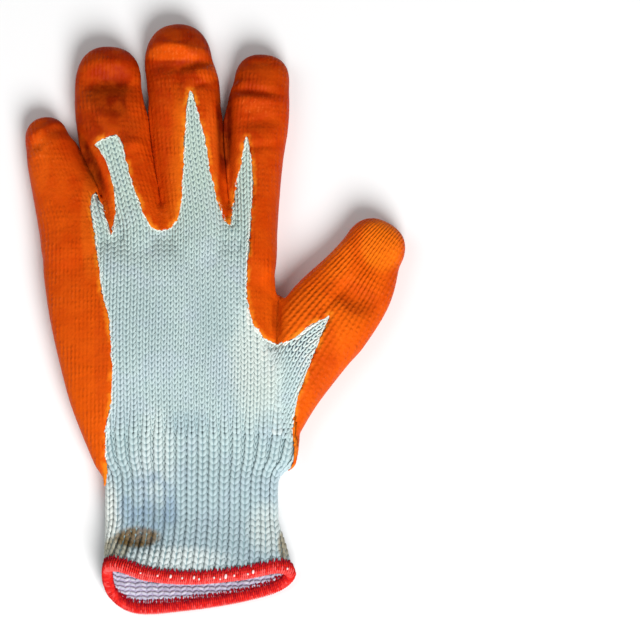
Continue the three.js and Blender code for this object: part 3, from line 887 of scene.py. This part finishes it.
def hem_frames(count):
    """Places round the mouth, with the way into the cuff, the way outward and the way round."""
    rims = [cuff_ring(MOUTH_BLEND_Y, 0, count), cuff_ring(MOUTH_BLEND_Y, 0.3, count)]
    away = outward(rims)[0]
    inward = unit(rims[1] - rims[0])
    away = unit(away - inward * np.sum(away * inward, axis=1, keepdims=True))
    around = unit(np.roll(rims[0], -1, 0) - np.roll(rims[0], 1, 0))
    return zip(rims[0], inward, away, around)


def round_hem(c, a, b, t, sunk):
    """A place round the hem's section: its middle, the ways in and outward, and the turn."""
    return c + a * (HEM_REACH - sunk[0]) * np.cos(t) + b * (HEM_HALF - sunk[1]) * np.sin(t)


def hem_up(a, b, t):
    """The way square to the hem's face at a turn of its section."""
    return Vector(a * math.cos(t) / HEM_REACH + b * math.sin(t) / HEM_HALF).normalized()


def hem_roll():
    """The knit's cut edge inside the thread."""
    turns = np.linspace(0, 2 * math.pi, 16, endpoint=False)[:, None]
    rings = [round_hem(c, a, b, turns, CORE_SUNK) for c, a, b, _ in hem_frames(200)]
    bm = bmesh.new()
    draw_tube(bm, rings)
    return new_piece("hem_roll", bm)


def hem_thread():
    """Thread taken square over the edge, its ends biting into the knit on both faces."""
    places = []
    for k, (c, a, b, around) in enumerate(hem_frames(WRAPS)):
        slant = jitter(-0.15, 0.15)
        for t in np.linspace(0.24, 1.76, 9) * math.pi:
            spot = round_hem(c, a, b, t, THREAD_SUNK)
            along = Vector(b * math.cos(t) * HEM_HALF - a * math.sin(t) * HEM_REACH + around * slant)
            size = (0.88, 2.2, jitter(0.7, 1.15))
            # Painted light and shade: the roll's outer face and the upper roll lighter, its ends darker where
            # they tuck in
            shade = 0.56 - 0.44 * math.cos(t) + jitter(-0.3, 0.3) + 0.4 * smoothstep(0.1, 0.6, b[2])
            places.append(lay(point(spot), along, hem_up(a, b, t), size, shade))
        for face in (-1, 1):
            reach = jitter(0.3, 1.1) + (0.5 if k % 2 else 0)
            spot = c + a * (HEM_REACH * 0.6 + reach / 2) + b * face * (CUFF_WALL / 2 + 0.3)
            spot = point(spot + around * jitter(-0.3, 0.3))
            way = Vector(a + around * jitter(-0.25, 0.25))
            size = (0.8, reach + 1.2, 0.9)
            # The ends that bite into the knit are painted dark for the shade there
            places.append(lay(spot, way, Vector(b * face), size, 0.2 + jitter(-0.15, 0.15)))
    return scatter("hem_thread", places)


def hem_flecks():
    """White loops of the knit showing between the red ones along the upper edge."""
    frames = [f for f in hem_frames(WRAPS * 2) if f[2][2] > 0.2]
    places = []
    for x, size in FLECKS:
        c, a, b, _ = min(frames, key=lambda f: abs(f[0][0] - x))
        t = jitter(0.5, 0.66) * math.pi
        spot = point(round_hem(c, a, b, t, FLECK_SUNK))
        places.append(lay(spot, Vector(a), hem_up(a, b, t), (0.5 + 0.35 * size, size, 0.7), 0.9))
    return scatter("hem_flecks", places)


# Materials
class Sock:
    """A socket that takes arithmetic, each step a Math node."""

    def __init__(self, finish, link):
        self.finish, self.link = finish, link

    def math(self, operation, a, b=0):
        return self.finish.node("Math", {0: a, 1: b}, operation=operation)[0]

    def __add__(self, other):
        return self.math("ADD", self, other)

    def __sub__(self, other):
        return self.math("SUBTRACT", self, other)

    def __rsub__(self, other):
        return self.math("SUBTRACT", other, self)

    def __mul__(self, other):
        return self.math("MULTIPLY", self, other)

    def __truediv__(self, other):
        return self.math("DIVIDE", self, other)

    __radd__ = __add__
    __rmul__ = __mul__

    def wave(self):
        """A sine from 0 to 1, once for each whole step of the value."""
        return self.math("SINE", self * (2 * math.pi)) * 0.5 + 0.5

    def ramp(self, low, high):
        """0 below low, 1 above high, smooth between; low may be the larger."""
        inputs = {"Value": self, "From Min": low, "From Max": high}
        return self.finish.node("MapRange", inputs, interpolation_type="SMOOTHSTEP")[0]


class Finish:
    """A material and the few ways its nodes are made."""

    def __init__(self, name, **settings):
        self.mat = bpy.data.materials.new(name)
        self.mat.use_nodes = True
        self.nodes = self.mat.node_tree.nodes
        self.shader = next(n for n in self.nodes if n.type == "BSDF_PRINCIPLED")
        for key, value in settings.items():
            self.set(key.replace("_", " "), value)

    def node(self, kind, inputs=(), **settings):
        n = self.nodes.new("ShaderNode" + kind)
        for key, value in settings.items():
            setattr(n, key, value)
        for key, value in dict(inputs).items():
            self.feed(n.inputs[key], value)
        return [Sock(self, s) for s in n.outputs]

    def feed(self, socket, value):
        if isinstance(value, Sock):
            self.mat.node_tree.links.new(value.link, socket)
        elif isinstance(value, tuple) and len(value) == 3 and len(socket.default_value) == 4:
            socket.default_value = (*value, 1)
        else:
            socket.default_value = value

    def set(self, name, value):
        self.feed(self.shader.inputs[name], value)

    def place(self):
        return self.node("TexCoord")[3]

    def parts(self, vector):
        return self.node("SeparateXYZ", {0: vector})

    def noted(self, name, output=2):
        """What a piece's points note down for it: a number, or at output 1 a vector."""
        return self.node("Attribute", attribute_name=name)[output]

    def noise(self, size_mm, detail=2, rough=0.5):
        inputs = {"Vector": self.place(), "Scale": 1 / (size_mm * MM), "Detail": detail, "Roughness": rough}
        return self.node("TexNoise", inputs)[0]

    def blend(self, share, a, b):
        return self.node("Mix", {0: share, 6: a, 7: b}, data_type="RGBA")[2]

    def bump(self, height, distance_mm, strength=1):
        inputs = {"Height": height, "Distance": distance_mm * MM, "Strength": strength}
        return self.node("Bump", inputs)[0]

    def spot(self, x, y, across, along, lean=0, core=0.35):
        """1 at a place of the table, falling to 0 at its reach across and along."""
        cx, cy, _ = point((x, y, 0))
        px, py, _ = self.parts(self.place())
        v = py - cy
        u = (px - cx - v * lean) / (across * MM)
        v = v / (along * MM)
        return (u * u + v * v).ramp(1, core)


# Bands by the frame's y in mm: where each starts and is full, its share and colour. The bluish one on the
# cuff and the greenish one up the fingers are the yarn's own hue; the darker two, over the lower half and
# near the hem, are painted shade
YARN_HUE_AND_SHADE_BANDS = [
    ((-45, -75), 0.4, (0.33, 0.45, 0.53)), ((10, 60), 0.4, (0.53, 0.66, 0.5)),
    ((0, -40), 0.22, (0.38, 0.5, 0.53)), ((-72, -100), 0.35, (0.24, 0.31, 0.36)),
]
# Patches: a spot's place, reach and lean, the patch's share, and its colour. The brown patches by the hem
# are partly a stain and partly painted shade in the dent there
STAINS_AND_DENT_SHADE = [
    ((-20.5, 25.5, 7, 6), 0.6, (0.4, 0.33, 0.17)), ((-12, 30, 11, 5.2), 0.95, (0.165, 0.095, 0.022)),
    ((47, 28, 3, 8), 0.7, (0.26, 0.19, 0.08)),
]
# Patches on the knit: painted light and shade on its bulges, folds and creases; the pale ones low on the cuff
# and over the gusset also stand for paler, fuzzier yarn
YARN_LIGHT_AND_SHADE = [
    ((36, 100, 13, 32), 0.55, (0.68, 0.74, 0.67)), ((3, 20.5, 27, 7), 0.65, (0.73, 0.78, 0.75)),
    ((-5, 37, 13, 10), 0.6, (0.2, 0.29, 0.35)), ((-12, 117, 20, 22), 0.25, (0.32, 0.44, 0.46)),
    ((17, 118.5, 11, 18), 0.3, (0.32, 0.44, 0.46)), ((31, 101.5, 11, 16), 0.15, (0.74, 0.8, 0.78)),
    ((-5, 62, 11, 26), 0.36, (0.74, 0.8, 0.76)), ((-24, 38, 7, 20), 0.75, (0.76, 0.78, 0.72)),
    ((41, 34, 11, 14), 0.45, (0.76, 0.8, 0.74)), ((41, 74, 9, 11), 0.25, (0.3, 0.42, 0.5)),
    ((8, 76, 12, 7), 0.35, (0.3, 0.42, 0.48)), ((-15, 72, 9, 12), 0.25, (0.34, 0.46, 0.48)),
]
# Patches on the latex, mostly painted light and shade: highlights on ridges, bands and the thumb's tip,
# shadows in dents, on flanks and over the fingertips
LATEX_LIGHT_AND_SHADE = [
    ((-24, 206, 16, 20), 0.6, (0.22, 0.012, 0.001)), ((-22.5, 213, 13, 10), 0.72, (0.15, 0.008, 0)),
    ((6, 226, 15, 4.5), 0.45, (0.26, 0.016, 0.001)), ((3, 232, 16, 4), 0.6, (0.88, 0.105, 0.002)),
    ((9, 241, 13, 5), 0.4, (0.24, 0.013, 0.001)), ((-22, 229, 14, 9), 0.25, (0.26, 0.014, 0.001)),
    ((38, 190, 10, 20), 0.3, (0.48, 0.036, 0.001)), ((35, 210.5, 11, 5), 0.45, (0.66, 0.06, 0.003)),
    ((34, 224, 10, 9), 0.45, (0.26, 0.014, 0.001)), ((-46.5, 203, 6, 6), 0.55, (0.28, 0.016, 0.001)),
    ((74, 143, 17, 24), 0.55, (0.86, 0.13, 0.003)), ((86, 152, 10, 14), 0.8, (1, 0.2, 0.006)),
    ((-52, 186, 5, 16), 0.45, (0.84, 0.125, 0.006)), ((22.6, 203, 4, 25), 0.9, (0.12, 0.006, 0.001)),
    ((60, 123, 24, 22), 0.6, (0.94, 0.15, 0.005)), ((-47, 172, 9, 26), 0.35, (0.78, 0.1, 0.003)),
    ((-31.8, 187, 3.4, 16, -0.44), 0.9, (0.11, 0.006, 0.001)),
    ((77, 128, 9, 8), 0.45, (0.42, 0.034, 0.001)), ((43.9, 121, 2.4, 12), 0.5, (0.32, 0.02, 0.001)),
    ((14, 236, 9, 7), 0.5, (0.22, 0.012, 0.001)), ((16, 225, 6, 6), 0.45, (0.8, 0.1, 0.003)),
    ((-13.5, 213, 4.5, 11), 0.45, (0.74, 0.07, 0.002)), ((8, 214, 6, 10), 0.35, (0.36, 0.022, 0.001)),
    ((35, 208, 13, 15), 0.4, (0.38, 0.024, 0.001)), ((17, 186, 4, 28), 0.55, (0.86, 0.13, 0.008)),
    ((26.5, 180, 3.5, 12), 0.6, (0.84, 0.12, 0.006)), ((34, 195, 5, 10), 0.25, (0.38, 0.024, 0.001)),
    ((-14, 184, 4, 9), 0.35, (0.4, 0.026, 0.001)), ((-44.5, 201, 7, 6), 0.45, (0.3, 0.018, 0.001)),
    ((66, 147, 10, 11), 0.65, (0.98, 0.16, 0.005)), ((57, 140, 9, 9), 0.45, (0.92, 0.11, 0.003)),
    ((70, 132, 10, 6), 0.45, (0.56, 0.045, 0.001)), ((61, 106, 9, 22), 0.4, (0.48, 0.042, 0.002)),
    ((44, 136, 8, 8), 0.45, (0.9, 0.105, 0.003)), ((-26.5, 106, 3.5, 32), 0.4, (0.48, 0.042, 0.002)),
    ((-31, 160, 5, 28), 0.35, (0.8, 0.16, 0.008)),
]


def knit_finish(name, light, deep, lilac, hole_shadow, stained):
    m = Finish(name, Roughness=0.9, Sheen_Weight=0.15, Sheen_Roughness=0.5, Specular_IOR_Level=0.15)
    shade = m.noted("shade")
    fine = m.noise(0.8, 3, 0.6)
    # A stitch's shade mixes its yarn's own tone with shade painted in its furrow and hole
    colour = m.blend((shade + fine * 0.7 - 0.35).ramp(0, 1), deep, light)
    colour = m.blend(m.noise(13, 2).ramp(0.45, 0.66) * 0.35, colour, lilac)
    if stained:
        _, y, z = m.parts(m.place())
        # The yarn's hue by height, and two bands of painted shade low down
        for (start, full), share, tint in YARN_HUE_AND_SHADE_BANDS:
            colour = m.blend(y.ramp(start * MM, full * MM) * share, colour, tint)
        plain = colour
        # Patches of painted light and shade over the knit
        for place, share, tint in YARN_LIGHT_AND_SHADE:
            colour = m.blend(m.spot(*place, core=0) * share, colour, tint)
        edge = m.noise(3, 2) * 0.5 + 0.75
        # Brown patches by the hem, partly a stain and partly painted shade of the dent
        for place, share, tint in STAINS_AND_DENT_SHADE:
            colour = m.blend(m.spot(*place) * edge * share, colour, tint)
        # A bluish painted shade over the cuff above the dent
        painted_blue_shade = m.spot(-8, 43, 15, 17) * m.noise(6, 2).ramp(0.3, 0.7)
        colour = m.blend(painted_blue_shade * 0.6, colour, (0.24, 0.35, 0.48))
        colour = m.blend(z.ramp(0.004, 0.007), plain, colour)
    colour = m.blend((shade - 0.85).ramp(0, 0.4) * 0.8, colour, (0.81, 0.81, 0.74))
    # Painted shade in the stitches' holes, where the shade runs low
    colour = m.blend(shade.ramp(0.25, -0.6), colour, hole_shadow)
    m.set("Base Color", colour)
    m.set("Normal", m.bump(m.noise(0.3, 3, 0.7), 0.12, 0.6))
    return m.mat


def ground_finish():
    """The knit's own shadowed ground between its stitches."""
    m = Finish("knit ground", Roughness=0.95, Specular_IOR_Level=0.1)
    inner = m.noted("shade")
    # The ground is painted dark for the shade between the stitches
    colour = m.blend(m.noise(1.5, 3).ramp(0.35, 0.65), (0.2, 0.3, 0.32), (0.27, 0.38, 0.4))
    colour = m.blend(m.spot(42.5, 91, 8, 26) * 0.8, colour, (0.46, 0.56, 0.55))
    # Painted darker shadow under the thumb's stretched tongue
    colour = m.blend(m.spot(57, 112, 12, 14), colour, (0.06, 0.09, 0.14))
    rim = m.noted("rim")
    colour = m.blend(rim * m.noise(1.2, 3).ramp(0.25, 0.55) * 0.8, colour, (0.7, 0.64, 0.5))
    m.set("Base Color", m.blend(inner, colour, (0.42, 0.38, 0.52)))
    m.set("Normal", m.bump(m.noise(0.8, 2), 0.3, 0.6))
    return m.mat


def latex_finish():
    m = Finish("orange latex", Specular_IOR_Level=0.03, Coat_Roughness=0.22)
    across, along, inside = m.parts(m.noted("weave", 1))
    px, py, pz = m.parts(m.place())
    # Painted shade: the orange darkens towards the fingertips, most over their ends
    colour = m.blend(py.ramp(-0.06, 0.08), (0.67, 0.085, 0.002), (0.54, 0.042, 0.001))
    colour = m.blend(py.ramp(0.08, 0.1) * 0.72, colour, (0.33, 0.018, 0))
    plain = colour
    # Patches of painted light and shade on ridges, dents, flanks and tips
    for place, share, tint in LATEX_LIGHT_AND_SHADE:
        colour = m.blend(m.spot(*place) * share, colour, tint)
    colour = m.blend(pz.ramp(0.002, 0.005), plain, colour)
    colour = m.blend(m.noise(8, 3, 0.55).ramp(0.35, 0.65) * 0.3, colour, (0.76, 0.11, 0.004))
    colour = m.blend(m.noise(1, 4, 0.7).ramp(0.45, 0.75) * 0.3, colour, (0.38, 0.024, 0.001))
    worn = inside.ramp(8, 1) * m.spot(1.5, 188, 10, 34)
    colour = m.blend(worn * 0.5, colour, (0.86, 0.17, 0.006))
    thin = inside.ramp(2.2, 0.3) * m.noise(6, 2).ramp(0.36, 0.6)
    thin = thin * (1 - m.spot(-27, 174, 6, 26, -0.2) * 0.7)
    colour = m.blend(thin * 0.75, colour, (0.88, 0.24, 0.012))
    wobble = m.noise(3, 2) * 0.35
    ribs = (across + wobble).wave()
    rows = (along + wobble * 1.6).wave()
    on_back = pz.ramp(0.006, 0.01)
    on_thumb = px.ramp(0.026, 0.034)
    shown = m.noise(9, 3).ramp(0.4, 0.64) * 0.6 + 0.16 + on_thumb * 0.65
    shown = shown * (1 - m.spot(-32, 186, 9, 20, -0.45)) * (1 - m.spot(24, 190, 7, 32) * 0.85)
    height = (ribs * on_back + rows * (1 - on_back) + ribs * rows * 0.8) * shown
    m.set("Normal", m.bump(height + m.noise(1.1, 4, 0.65) * 0.9 + m.noise(3.2, 2) * 1.6, 0.26, 0.85))
    m.set("Roughness", m.noise(4, 2) * 0.25 + 0.3)
    # Glints: painted highlights in the base colour, strongest in a few zones, with a faint coat over them
    highlight_zones = m.spot(36, 210, 8, 5) + m.spot(3, 232, 14, 4) + m.spot(-52, 194, 6, 8)
    glints = m.noise(1.5, 3, 0.7).ramp(0.5, 0.64) * (m.noise(15, 1).ramp(0.46, 0.6) * 0.35 + highlight_zones)
    glints = glints * ribs * (rows * 0.6 + 0.4)
    m.set("Base Color", m.blend(glints * 0.4, colour, (0.92, 0.19, 0.03)))
    m.set("Coat Weight", glints * 0.05)
    return m.mat


def thread_finish(name, light, deep, painted_highlight):
    m = Finish(name, Roughness=0.8, Specular_IOR_Level=0.12)
    shade = m.noted("shade")
    # Shaded and lit thread by the painted shade, and a painted highlight where it runs high
    colour = m.blend((shade + m.noise(1, 3) * 0.6 - 0.3).ramp(0, 1), deep, light)
    m.set("Base Color", m.blend((shade - 0.85).ramp(0, 0.6) * 0.75, colour, painted_highlight))
    m.set("Normal", m.bump(m.noise(0.25, 2, 0.6), 0.12, 0.6))
    return m.mat


def dress(ob, name, material, node=None):
    ob.name = ob.data.name = name
    ob.data.materials.append(material)
    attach(ob, "root")
    if node:
        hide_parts(node)


yarn = knit_finish("bleached yarn", (0.575, 0.7, 0.68), (0.4, 0.52, 0.52), (0.5, 0.58, 0.67),
                   (0.1, 0.16, 0.2), True)
inner_yarn = knit_finish("yarn inside", (0.54, 0.54, 0.63), (0.28, 0.27, 0.36), (0.48, 0.41, 0.54),
                         (0.2, 0.14, 0.24), False)
ground = ground_finish()
latex = latex_finish()
red = thread_finish("red overlock thread", (0.7, 0.016, 0.01), (0.29, 0.001, 0.012), (0.9, 0.13, 0.12))
white = thread_finish("white yarn flecks", (0.82, 0.66, 0.64), (0.6, 0.4, 0.4), (0.9, 0.8, 0.8))

# The latex skin
skin_bm = hand_form(voxel=1, depth=0, rounds=6)
press_together(skin_bm)
trim_below(skin_bm, coat(places_of(skin_bm.verts)))
drop_crumbs(skin_bm, least=150)
p, n = places_of(skin_bm.verts), normals_of(skin_bm)
sunk = LATEX_EDGE * (1 - smoothstep(0, EDGE_STRIP, coat(p)))
move_to(skin_bm, p - n * sunk[:, None])
skin = new_piece("latex", walled(skin_bm, LATEX))
note_weave(skin)
dress(skin, "latex_coat", latex, "latex_skin")

# The knitted hand under it
shell_bm = hand_form(voxel=1.6, depth=KNIT_OUT + 0.1, rounds=4)
knit_tree = BVHTree.FromBMesh(shell_bm)
p, n = places_of(shell_bm.verts), normals_of(shell_bm)
p[:, 2] -= 0.9 * furrow_share(p[:, 1]) * smoothstep(0.2, 0.7, n[:, 2])
move_to(shell_bm, p)
bmesh.ops.bisect_plane(shell_bm, geom=[*shell_bm.verts, *shell_bm.edges, *shell_bm.faces],
                       plane_co=point((0, WRIST_Y + SEAM / 2, 0)), plane_no=(0, -1, 0), clear_outer=True)
shell = note_rim(new_piece("shell", walled(shell_bm, KNIT_WALL)))
dress(shell, "knit_shell", ground, "knit_hand")

# The cuff, its stitches and those of the back
cuff = Cuff(rows=46, count=RIBS * 6)
dress(cuff_wall(cuff), "cuff_wall", ground, "rib_cuff")
dress(rib_stitches(cuff), "cuff_stitches", yarn, None)
dress(inside_rows(cuff), "inside_rows", inner_yarn, None)
dress(back_stitches(knit_tree, cuff), "back_stitches", yarn, None)

# The hem
dress(hem_roll(), "hem_roll", red, "overlock_hem")
dress(hem_thread(), "hem_thread", red, None)
dress(hem_flecks(), "hem_flecks", white, None)

# The camera stands far off, so the glove looks as flat as in the picture
TARGET = point((61.3, 121.7, 8))
ELEVATION = math.radians(75)
DISTANCE = 5
MM_PER_PIXEL = 0.403
IMAGE_WIDTH = 640
SENSOR = 36

camera = in_scene("camera", bpy.data.cameras.new("camera"))
camera.location = TARGET + Vector((0, -math.cos(ELEVATION), math.sin(ELEVATION))) * DISTANCE
camera.rotation_euler = (math.pi / 2 - ELEVATION, 0, 0)
camera.data.sensor_width = SENSOR
camera.data.lens = SENSOR * DISTANCE / (IMAGE_WIDTH * MM_PER_PIXEL * MM)
camera.data.clip_end = 100
scene.camera = camera
scene.view_settings.view_transform = "Standard"

# Floor and light
bm = bmesh.new()
bmesh.ops.create_grid(bm, x_segments=1, y_segments=1, size=6)
floor = new_piece("floor", bm)
paper = Finish("pale paper", Base_Color=(0.9, 0.9, 0.9), Roughness=0.9, Specular_IOR_Level=0.1)
floor.data.materials.append(paper.mat)
floor.location.z = -0.0002


def area_light(name, place, size, power):
    data = bpy.data.lights.new(name, "AREA")
    data.shape = "DISK"
    data.size = size
    data.energy = power
    ob = in_scene(name, data)
    ob.location = place
    ob.rotation_euler = (-Vector(place)).to_track_quat("-Z", "Y").to_euler()


area_light("key", (0.6, -1.7, 1.6), 1.4, 76)
area_light("fill", (-1.3, 0.1, 1.9), 1.6, 10)
world = bpy.data.worlds.new("studio")
world.use_nodes = True
backdrop = world.node_tree.nodes["Background"].inputs
backdrop["Color"].default_value = (1, 1, 1, 1)
backdrop["Strength"].default_value = 0.24
scene.world = world
